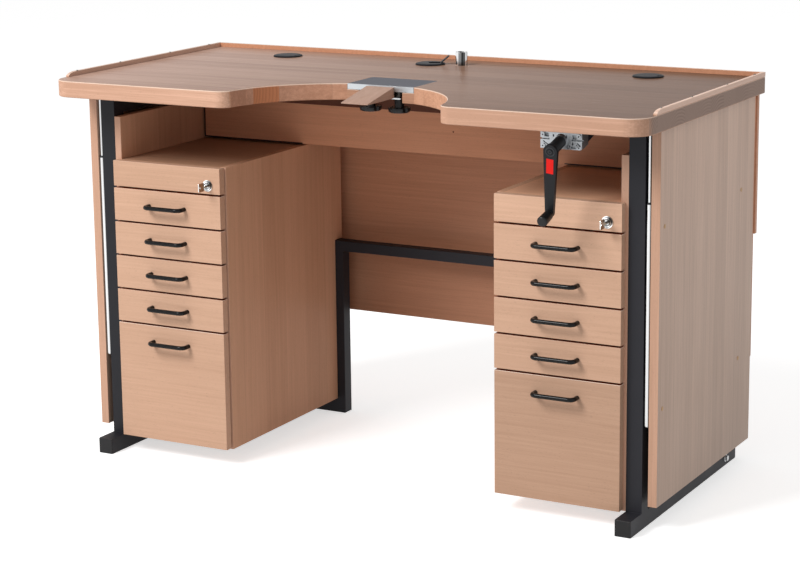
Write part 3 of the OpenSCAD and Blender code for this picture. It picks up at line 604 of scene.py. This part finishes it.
def slab(shape, low, high, matrix):
    """A box between two corners, put in place by a matrix."""
    spots = [(x, y, z) for x in (low[0], high[0]) for y in (low[1], high[1]) for z in (low[2], high[2])]
    corners = [shape.verts.new(matrix @ Vector(spot)) for spot in spots]
    for loop in ((0, 1, 3, 2), (4, 6, 7, 5), (0, 4, 5, 1), (2, 3, 7, 6), (0, 2, 6, 4), (1, 5, 7, 3)):
        shape.faces.new([corners[i] for i in loop])


class BenchColours(bpy.types.PropertyGroup):
    front: FloatVectorProperty(
        name="Fronts", description="Beech of the drawer fronts and lock boards",
        default=srgb(209, 170, 144), **COLOUR)
    panel: FloatVectorProperty(
        name="Side Panels", description="Beech of the outer side panels",
        default=srgb(212, 178, 156), **COLOUR)
    panel_edge: FloatVectorProperty(
        name="Panel Edges", description="Beech of the side panels' front edges",
        default=srgb(204, 161, 135), **COLOUR)
    inside: FloatVectorProperty(
        name="Pedestal Boards", description="Beech of the pedestals' sides, tops and backs",
        default=srgb(212, 167, 137), **COLOUR)
    runner: FloatVectorProperty(
        name="Runners", description="Beech of the strips that carry the drawers",
        default=srgb(185, 140, 108), **COLOUR)
    # The worktop's upper face is darker than its edges, partly its own beech and partly painted light, for
    # how the lacquer mirrors at a grazing angle
    worktop: FloatVectorProperty(
        name="Worktop", description="Beech of the worktop's upper face",
        default=srgb(148, 116, 98), **COLOUR)
    lipping: FloatVectorProperty(
        name="Lipping", description="Beech of the worktop's edges and of the boards' front edges",
        default=srgb(211, 169, 145), **COLOUR)
    cut_end: FloatVectorProperty(
        name="Cut Ends", description="Beech where the staves' ends show in the bay",
        default=srgb(214, 150, 112), **COLOUR)
    outer_end: FloatVectorProperty(
        name="Outer Ends", description="Beech where the staves' ends show at the worktop's sides",
        default=srgb(176, 150, 137), **COLOUR)
    strip: FloatVectorProperty(
        name="Edge Strips", description="Beech of the raised strips round the worktop",
        default=srgb(224, 188, 168), **COLOUR)
    strip_front: FloatVectorProperty(
        name="Strip Fronts", description="Beech of the edge strips' faces that look forward",
        default=srgb(204, 148, 116), **COLOUR)
    # The apron and the two back panels are more orange than the fronts, partly their own beech and partly
    # painted warm light bounced from the wood round them
    apron: FloatVectorProperty(
        name="Apron", description="Beech of the apron under the worktop",
        default=srgb(218, 157, 123), **COLOUR)
    rear_panel: FloatVectorProperty(
        name="Upper Rear Panel", description="Beech of the rear panel that rises with the worktop",
        default=srgb(214, 157, 125), **COLOUR)
    back_panel: FloatVectorProperty(
        name="Lower Back Panel", description="Beech of the fixed back panel",
        default=srgb(193, 141, 112), **COLOUR)
    plug: FloatVectorProperty(
        name="Plugs", description="Beech of the plugs in the side panels",
        default=srgb(204, 164, 118), **COLOUR)
    pin: FloatVectorProperty(
        name="Bench Pin", description="Bare beech of the bench pin",
        default=srgb(176, 145, 129), **COLOUR)
    coat_black: FloatVectorProperty(
        name="Powder Coat", description="Colour of the steel frame",
        default=srgb(38, 38, 43), **COLOUR)
    plate: FloatVectorProperty(
        name="Bench Plate", description="Steel of the bench plate's upper face",
        default=srgb(100, 101, 107), **COLOUR)
    cast_metal: FloatVectorProperty(
        name="Cast Metal", description="Colour of the die-cast pump",
        default=srgb(176, 179, 182), **COLOUR)
    label_red: FloatVectorProperty(
        name="Label", description="Colour of the bare label on the crank",
        default=srgb(238, 20, 10), **COLOUR)


class BenchSizes(bpy.types.PropertyGroup):
    stud_radius: FloatProperty(
        name="Stud Radius", description="Radius of the stud heads on the edge strips",
        default=0.0024, **LENGTH)
    label_width: FloatProperty(
        name="Label Width", description="Width of the label on the crank",
        default=0.0150, **LENGTH)
    label_height: FloatProperty(
        name="Label Height", description="Height of the label on the crank",
        default=0.0318, **LENGTH)
    stave_width: FloatProperty(
        name="Stave Width", description="Width of the worktop's staves",
        default=0.0725, **LENGTH)


class BenchStudio(bpy.types.PropertyGroup):
    key_power: FloatProperty(
        name="Key Light", description="Power of the main light, in watts", default=196.0, min=0)
    key_size: FloatProperty(
        name="Key Size", description="Side of the main light", default=2.0, **LENGTH)
    world_strength: FloatProperty(
        name="Room Light", description="Strength of the light from all round", default=0.45, min=0)
    floor_size: FloatProperty(
        name="Floor Size", description="Half the side of the floor", default=30.0, **LENGTH)


def colours():
    return bpy.context.scene.bench_colours


def sizes():
    return bpy.context.scene.bench_sizes


class BENCH_OT_worktop(bpy.types.Operator):
    """Finish the worktop, glued up from staves"""
    bl_idname = "bench.worktop"
    bl_label = "Worktop"

    def execute(self, context):
        c = colours()
        staves = {"stave": sizes().stave_width, "start": STAVES_FROM}
        beech = Beech("beech_worktop", "X", c.lipping, figure=1.5, seed=3.0, **staves)
        beech.cut_ends(tuple(c.cut_end), tuple(c.outer_end))
        # The upper face has a painted reflection: lighter and greyer on the left, darker and warmer on the
        # right
        beech.top(c.worktop, fade=WORKTOP_PAINTED_REFLECTION)
        beech.paint_edge_highlight(0.45)
        dress(beech.lacquer(shine=0.01, rough=0.25), "worktop")
        soften("worktop", WORKTOP_ROUND, segments=3, clamp=False)
        return {"FINISHED"}


class BENCH_OT_edge_strips(bpy.types.Operator):
    """Finish the raised strips along the worktop's sides and back"""
    bl_idname = "bench.edge_strips"
    bl_label = "Edge Strips"

    def execute(self, context):
        c = colours()
        beech = Beech("beech_strip", "Y", c.strip, figure=0.8, seed=2.0)
        beech.fade(*STRIP_FADE).lip(tuple(c.strip_front)).paint_edge_highlight(0.3)
        dress(beech.lacquer(shine=0.2), "edge_strips")
        soften("edge_strips", STRIP_ROUND)
        return {"FINISHED"}


class BENCH_OT_side_panels(bpy.types.Operator):
    """Finish the outer side panels and the plugs over their screws"""
    bl_idname = "bench.side_panels"
    bl_label = "Side Panels"

    def execute(self, context):
        c = colours()
        beech = Beech("beech_panel", "Z", c.panel, figure=0.9, stave=0.062, start=FRONT_Y, seed=1.0)
        # Painted shade makes the panels darker towards the bottom
        beech.fade(*PANEL_PAINTED_SHADE).lip(tuple(c.panel_edge))
        dress(beech.lacquer(shine=0.45), "side_panels")
        soften("side_panels", BOARD_ROUND)
        dress(Beech("beech_plug", "X", c.plug, seed=8.0).lacquer(shine=0.2), "panel_plugs")
        return {"FINISHED"}


class BENCH_OT_pedestals(bpy.types.Operator):
    """Finish the pedestals' boards and the strips that carry the drawers"""
    bl_idname = "bench.pedestals"
    bl_label = "Pedestals"

    def execute(self, context):
        c = colours()
        upright = Beech("beech_upright", "Z", c.inside, figure=0.6, stave=0.09, start=FRONT_Y, seed=5.0)
        upright.lip(tuple(c.lipping))
        dress(upright.lacquer(shine=0.08), "outer_boards", "pedestal_inner_sides")
        level = Beech("beech_level", "X", c.inside, figure=0.6, seed=4.0)
        # The level faces get painted shade: darker on the left pedestal, lighter on the right one
        level.top(c.inside, fade=PEDESTAL_TOP_PAINTED_SHADE)
        dress(level.lacquer(shine=0.06), "pedestal_tops", "pedestal_bottoms", "pedestal_backs")
        dress(Beech("beech_runner", "Y", c.runner, seed=30.0).lacquer(), "drawer_runners")
        for name in ("outer_boards", "pedestal_inner_sides"):
            soften(name, BOARD_ROUND)
        return {"FINISHED"}


class BENCH_OT_rear_boards(bpy.types.Operator):
    """Finish the apron and the two panels at the back"""
    bl_idname = "bench.rear_boards"
    bl_label = "Apron and Back"

    def execute(self, context):
        c = colours()
        low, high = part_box("apron")
        below, above = low.z - PAST_EDGE, high.z + PAST_EDGE
        apron = Beech("beech_apron", "X", c.apron, figure=0.7, seed=6.0)
        # A painted shadow on the apron's upper part under the worktop, and painted shade in the joints below
        # and beside it
        apron.band(PAINTED_SHADOW_FROM, above, 0.0, srgb(*APRON_PAINTED_SHADOW))
        apron.band(below, low.z + JOINT_HEIGHT, JOINT_FROM_X, srgb(*JOINT_PAINTED_SHADE))
        apron.band(below, high.z, high.x - JOINT_WIDTH, srgb(*JOINT_PAINTED_SHADE))
        dress(apron.lacquer(shine=0.15), "apron")
        upper = Beech("beech_rear", "X", c.rear_panel, figure=0.8, seed=7.0)
        dress(upper.lacquer(shine=0.2), "upper_rear_panel")
        lower = Beech("beech_back", "X", c.back_panel, figure=0.8, seed=9.0)
        # Painted shade makes the lower back panel darker towards the bottom
        lower.fade(*BACK_PANEL_PAINTED_SHADE)
        dress(lower.lacquer(shine=0.2), "lower_back_panel")
        for name in ("apron", "upper_rear_panel", "lower_back_panel"):
            soften(name, BOARD_ROUND)
        return {"FINISHED"}


class BENCH_OT_lock_boards(bpy.types.Operator):
    """Finish the fixed boards that hold the locks"""
    bl_idname = "bench.lock_boards"
    bl_label = "Lock Boards"

    def execute(self, context):
        colour = scaled(colours().front, LOCK_BOARD_LEVEL)
        board = Beech("beech_front_0", "X", colour, figure=0.6, seed=10.0)
        # Painted light makes the right board a little lighter than the left one
        board.fade(*LOCK_BOARD_PAINTED_LIGHT).paint_edge_highlight(0.2)
        dress(board.lacquer(shine=0.1), "lock_boards")
        soften("lock_boards", FRONT_ROUND, clamp=False)
        return {"FINISHED"}


class BENCH_OT_drawers(bpy.types.Operator):
    """Finish the drawers, each in its own shade of beech"""
    bl_idname = "bench.drawers"
    bl_label = "Drawers"

    def execute(self, context):
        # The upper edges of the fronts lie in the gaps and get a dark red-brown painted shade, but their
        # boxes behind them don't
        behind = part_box("lock_boards")[1].y + PAST_FRONT
        for i, (name, level) in enumerate(zip(DRAWERS, DRAWER_LEVELS), start=1):
            colour = scaled(colours().front, level)
            front = Beech(f"beech_front_{i}", "X", colour, figure=0.6, seed=10.0 + i)
            front.top(srgb(*GAP_PAINTED_SHADE), until=behind).paint_edge_highlight(0.9)
            dress(front.lacquer(shine=0.1), name)
            soften(name, FRONT_ROUND, clamp=False)
        return {"FINISHED"}


class BENCH_OT_handles(bpy.types.Operator):
    """Finish the bow handles"""
    bl_idname = "bench.handles"
    bl_label = "Handles"

    def execute(self, context):
        dress(coated("handle_black", srgb(*HANDLE_BLACK), rough=0.17, peel=0.02, shine=0.18), *HANDLES)
        return {"FINISHED"}


class BENCH_OT_clamp(bpy.types.Operator):
    """Finish the bench plate and the clamp under it, with its two star knobs"""
    bl_idname = "bench.clamp"
    bl_label = "Plate and Clamp"

    def execute(self, context):
        ground = {"stretch": GROUND, "top": tuple(colours().plate), "tint": PLATE_TINT}
        dress(bare_metal("plate_steel", srgb(*PLATE_EDGE), rough=0.34, **ground), "bench_plate")
        soften("bench_plate", SMALL_ROUND)
        dress(bare_metal("zinc_steel", srgb(*ZINC), rough=0.3, stretch=DRAWN), "clamp_bar")
        dress(bare_metal("stud_black", srgb(*CLAMP_STUD), rough=0.35), "clamp_studs")
        plastic = coated("black_plastic", srgb(*KNOB_BLACK), rough=0.36, peel=0.08, shine=0.3)
        for name in ("left_knob", "right_knob"):
            dress(plastic, name)
            soften(name, KNOB_ROUND, segments=3)
        return {"FINISHED"}


class BENCH_OT_bench_pin(bpy.types.Operator):
    """Finish the wooden bench pin, which is duller than the boards"""
    bl_idname = "bench.bench_pin"
    bl_label = "Bench Pin"

    def execute(self, context):
        beech = Beech("beech_block", "Y", colours().pin, figure=0.8, seed=40.0)
        dress(beech.lacquer(shine=0.1, rough=0.55), "bench_pin")
        soften("bench_pin", SMALL_ROUND)
        return {"FINISHED"}


class BENCH_OT_steel_frame(bpy.types.Operator):
    """Finish the welded frames with their end caps, bolts and spacers"""
    bl_idname = "bench.steel_frame"
    bl_label = "Steel Frame"

    def execute(self, context):
        black = tuple(colours().coat_black)
        dress(coated("frame_black", black, rough=0.5, shine=0.22), "right_side_frame", "rear_frame")
        # The left frame gets a darker copy of the coat, as painted shade
        dress(coated("frame_black_painted_shade", scaled(black, 0.75), rough=0.5, shine=0.2), "left_side_frame")
        for name in ("left_side_frame", "right_side_frame", "rear_frame"):
            soften(name, TUBE_ROUND, segments=3)
        dress(finish_of("clamp_bar"), "panel_spacers", "frame_bolts")
        dress(finish_of("left_knob"), "tube_end_caps")
        soften("tube_end_caps", CAP_ROUND)
        return {"FINISHED"}


class BENCH_OT_tool_post(bpy.types.Operator):
    """Finish the chrome tube at the back of the worktop"""
    bl_idname = "bench.tool_post"
    bl_label = "Tool Post"

    def execute(self, context):
        dress(banded_chrome("tube_chrome", TUBE_PAINTED_REFLECTION), "tool_post")
        soften("tool_post", POST_ROUND)
        return {"FINISHED"}


class BENCH_OT_locks(bpy.types.Operator):
    """Finish the lock barrels and the keys"""
    bl_idname = "bench.locks"
    bl_label = "Locks"

    def execute(self, context):
        low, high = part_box("lock_boards")
        keys = [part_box(f"{side}_key") for side in SIDES]
        centres = [((key[0].x + key[1].x) / 2, (low.z + high.z) / 2 - LOCK_DROP) for key in keys]
        dress(turned_chrome("turned_chrome", LOCK_PAINTED_RAYS, LOCK_PAINTED_RINGS, centres), "lock_barrels")
        # The keys' flat sides have a painted reflection of the brown wood round them
        steel = bare_metal("key_steel", srgb(*KEY_STEEL), rough=0.2, sides=srgb(*KEY_SIDES_PAINTED_REFLECTION))
        dress(steel, "left_key", "right_key")
        return {"FINISHED"}


class BENCH_OT_grommets(bpy.types.Operator):
    """Finish the cable grommets and their flaps"""
    bl_idname = "bench.grommets"
    bl_label = "Grommets"

    def execute(self, context):
        dress(coated("grommet_black", srgb(*GROMMET_BLACK), rough=0.45, shine=0.05), "cable_grommets", *FLAPS)
        for name in FLAPS:
            soften(name, FLAP_ROUND)
        return {"FINISHED"}


class BENCH_OT_rim_studs(bpy.types.Operator):
    """Add the small stud heads on top of the side strips"""
    bl_idname = "bench.rim_studs"
    bl_label = "Rim Studs"

    def execute(self, context):
        metal = bare_metal("stud_steel", srgb(*RIM_STUD), rough=0.3)
        low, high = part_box("edge_strips")
        profile = [(part * sizes().stud_radius, height) for part, height in STUD_PROFILE]
        for side, x in zip(SIDES, (low.x + STUD_INSET, high.x - STUD_INSET)):
            shape = bmesh.new()
            for set_back in STUD_SET_BACKS:
                turned(shape, profile, Matrix.Translation((x, FRONT_Y + set_back, high.z)), steps=16)
            mesh_piece(f"rim_studs_{side}", shape, "lifting_top", metal)
        return {"FINISHED"}


class BENCH_OT_apron_dowel(bpy.types.Operator):
    """Add the end of the dowel that shows in the apron"""
    bl_idname = "bench.apron_dowel"
    bl_label = "Apron Dowel"

    def execute(self, context):
        dark = Beech("beech_dowel", "Y", srgb(*DOWEL_BROWN), seed=50.0).lacquer(shine=0.1)
        seat = Matrix.Translation((DOWEL_X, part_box("apron")[0].y, DOWEL_Z)) @ FORWARD
        shape = bmesh.new()
        turned(shape, DOWEL_PROFILE, seat, steps=16)
        mesh_piece("apron_dowel", shape, "lifting_top", dark)
        return {"FINISHED"}


class BENCH_OT_pump(bpy.types.Operator):
    """Finish the die-cast pump under the worktop and the bracket that carries it"""
    bl_idname = "bench.pump"
    bl_label = "Pump"

    def execute(self, context):
        metal = tuple(colours().cast_metal)
        dress(bare_metal("cast_aluminium", metal, rough=0.42, marks=700.0, depth=0.5), "pump")
        soften("pump", SMALL_ROUND)
        dress(finish_of("rear_frame"), "pump_bracket")
        return {"FINISHED"}


def crank_frame():
    """The crank's own frame: -Y runs out along its shaft, and -Z down its arm."""
    low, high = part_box("pump_bracket")
    spot = ((low.x + high.x) / 2, FRONT_Y + CRANK_SET_BACK, TOP_LOW.z - CRANK_DROP)
    shaft = Matrix.Translation(spot) @ Matrix.Rotation(CRANK_TILT, 4, "X")
    return shaft @ Matrix.Rotation(ARM_LEAN, 4, "Y")


class BENCH_OT_crank(bpy.types.Operator):
    """Finish the crank and its grip, and add its bare label and the rings on its hub"""
    bl_idname = "bench.crank"
    bl_label = "Crank"

    def execute(self, context):
        dress(coated("crank_black", srgb(*CRANK_BLACK), rough=0.42, shine=0.2), "crank")
        soften("crank", CRANK_ROUND)
        dress(finish_of("left_knob"), "crank_grip")
        own = crank_frame()

        w, h = sizes().label_width / 2, sizes().label_height
        red = coated("label_red", tuple(colours().label_red), rough=0.3, peel=0.02, shine=0.2)
        label = bmesh.new()
        slab(label, (-w, LABEL_FROM, LABEL_TOP - h), (w, LABEL_TO, LABEL_TOP), own)
        mesh_piece("crank_label", label, "crank", red)

        # The hub's rings are a lighter black than the crank
        hub_black = coated("crank_hub_black", srgb(*HUB_RING_BLACK), rough=0.35, shine=0.4)
        out = own @ Matrix.Translation((0, ARM_FACE, 0)) @ FORWARD
        hub = bmesh.new()
        turned(hub, HUB_RING, out, steps=40)
        turned(hub, HUB_CENTRE, out @ Matrix.Translation((0, 0, HUB_CENTRE_RISE)), steps=24)
        mesh_piece("crank_hub_rings", hub, "crank", hub_black)
        return {"FINISHED"}


class BENCH_OT_lift(bpy.types.Operator):
    """Finish the lifting cylinders and rods, and add the cylinders' black wiper rings"""
    bl_idname = "bench.lift"
    bl_label = "Lift"

    def execute(self, context):
        dress(banded_chrome("rod_chrome", ROD_PAINTED_REFLECTION), "lift_cylinders", "lift_rods")
        low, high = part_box("lift_cylinders")
        shape = bmesh.new()
        for x in (low.x + CYLINDER_RADIUS, high.x - CYLINDER_RADIUS):
            for y in (low.y + CYLINDER_RADIUS, high.y - CYLINDER_RADIUS):
                turned(shape, SEAL_PROFILE, Matrix.Translation((x, y, high.z)), steps=24)
        mesh_piece("cylinder_seals", shape, "base", finish_of("left_knob"))
        return {"FINISHED"}


def white_floor():
    """A matt white that takes shadows, and glows only where it is seen plainly."""
    web = Finish("floor_white")
    matt = web.put("BsdfDiffuse", Color=(FLOOR_GREY,) * 3).outputs[0]
    glow = web.put("Emission", Color=(1.0, 1.0, 1.0), Strength=FLOOR_GLOW).outputs[0]
    both = web.put("AddShader")
    web.plug(both.inputs[0], matt)
    web.plug(both.inputs[1], glow)
    return web.done(web.pick(web.seen_plainly(), matt, both.outputs[0]))


def lay_floor(scene, half):
    """A square floor, given by half its side."""
    data = bpy.data.meshes.new("studio_floor")
    corners = ((-half, -half, 0), (half, -half, 0), (half, half, 0), (-half, half, 0))
    data.from_pydata(corners, [], [(0, 1, 2, 3)])
    data.materials.append(white_floor())
    floor = bpy.data.objects.new("studio_floor", data)
    scene.collection.objects.link(floor)


def light_room(scene, strength):
    """Even light from all round, in a room that looks white."""
    scene.world = bpy.data.worlds.new("studio_room")
    scene.world.use_nodes = True
    web = Web(scene.world.node_tree)
    room = web.put("Background", Color=(1.0, 1.0, 1.0), Strength=strength).outputs[0]
    white = web.put("Background", Color=(1.0, 1.0, 1.0), Strength=1.0).outputs[0]
    web.put("OutputWorld", Surface=web.pick(web.seen_plainly(), room, white))


def hang_key_light(scene, power, side):
    """One large soft lamp, high on the left in front of the bench."""
    lamp = bpy.data.lights.new("key_light", "AREA")
    lamp.energy = power
    lamp.size = side
    key = bpy.data.objects.new("key_light", lamp)
    turn = KEY_FROM.to_track_quat("Z", "Y").to_matrix().to_4x4()
    key.matrix_world = Matrix.Translation(KEY_AIM + KEY_DISTANCE * KEY_FROM) @ turn
    key.visible_camera = False
    scene.collection.objects.link(key)


def stand_camera(scene):
    """The camera, at eye height on the right in front of the bench."""
    lens = bpy.data.cameras.new("studio_camera")
    camera = bpy.data.objects.new("studio_camera", lens)
    scene.collection.objects.link(camera)
    level = math.cos(CAMERA_PITCH)
    forward = Vector((-math.sin(CAMERA_YAW) * level, math.cos(CAMERA_YAW) * level, math.sin(CAMERA_PITCH)))
    flat = Vector((math.cos(CAMERA_YAW), math.sin(CAMERA_YAW), 0.0))
    steep = flat.cross(forward)
    right = flat * math.cos(CAMERA_ROLL) + steep * math.sin(CAMERA_ROLL)
    up = steep * math.cos(CAMERA_ROLL) - flat * math.sin(CAMERA_ROLL)
    turn = Matrix((right, up, -forward)).transposed().to_4x4()
    camera.matrix_world = Matrix.Translation(CAMERA_SPOT) @ turn
    lens.sensor_width = SENSOR_WIDTH
    lens.lens = FOCAL_LENGTH
    lens.shift_x = SHIFT_X
    lens.shift_y = SHIFT_Y
    lens.clip_end = 200.0
    scene.camera = camera


class BENCH_OT_stage(bpy.types.Operator):
    """Set up the floor, the lights and the camera"""
    bl_idname = "bench.stage"
    bl_label = "Studio"

    def execute(self, context):
        scene = context.scene
        studio = scene.bench_studio
        scene.view_settings.view_transform = "Standard"
        lay_floor(scene, studio.floor_size)
        light_room(scene, studio.world_strength)
        hang_key_light(scene, studio.key_power, studio.key_size)
        stand_camera(scene)
        return {"FINISHED"}


class BENCH_PT_panel(bpy.types.Panel):
    bl_label = "Jewellers Bench"
    bl_idname = "BENCH_PT_panel"
    bl_space_type = "VIEW_3D"
    bl_region_type = "UI"
    bl_category = "Bench"

    def draw(self, context):
        for group in (context.scene.bench_colours, context.scene.bench_sizes, context.scene.bench_studio):
            for key in group.bl_rna.properties.keys():
                if key not in ("rna_type", "name"):
                    self.layout.prop(group, key)
        for operator in OPERATORS:
            self.layout.operator(operator.bl_idname)


OPERATORS = (
    BENCH_OT_worktop, BENCH_OT_edge_strips, BENCH_OT_side_panels, BENCH_OT_pedestals, BENCH_OT_rear_boards,
    BENCH_OT_lock_boards, BENCH_OT_drawers, BENCH_OT_handles, BENCH_OT_clamp, BENCH_OT_bench_pin,
    BENCH_OT_steel_frame, BENCH_OT_tool_post, BENCH_OT_locks, BENCH_OT_grommets, BENCH_OT_rim_studs,
    BENCH_OT_apron_dowel, BENCH_OT_pump, BENCH_OT_crank, BENCH_OT_lift, BENCH_OT_stage,
)
GROUPS = {"bench_colours": BenchColours, "bench_sizes": BenchSizes, "bench_studio": BenchStudio}


def register():
    for name, group in GROUPS.items():
        bpy.utils.register_class(group)
        setattr(bpy.types.Scene, name, PointerProperty(type=group))
    for operator in OPERATORS:
        bpy.utils.register_class(operator)
    bpy.utils.register_class(BENCH_PT_panel)


def unregister():
    bpy.utils.unregister_class(BENCH_PT_panel)
    for operator in reversed(OPERATORS):
        bpy.utils.unregister_class(operator)
    for name, group in GROUPS.items():
        delattr(bpy.types.Scene, name)
        bpy.utils.unregister_class(group)


def main():
    register()
    bpy.ops.bench.worktop()
    bpy.ops.bench.edge_strips()
    bpy.ops.bench.side_panels()
    bpy.ops.bench.pedestals()
    bpy.ops.bench.rear_boards()
    bpy.ops.bench.lock_boards()
    bpy.ops.bench.drawers()
    bpy.ops.bench.handles()
    bpy.ops.bench.clamp()
    bpy.ops.bench.bench_pin()
    bpy.ops.bench.steel_frame()
    bpy.ops.bench.tool_post()
    bpy.ops.bench.locks()
    bpy.ops.bench.grommets()
    bpy.ops.bench.rim_studs()
    bpy.ops.bench.apron_dowel()
    bpy.ops.bench.pump()
    bpy.ops.bench.crank()
    bpy.ops.bench.lift()
    bpy.ops.bench.stage()


if __name__ == "__main__":
    main()
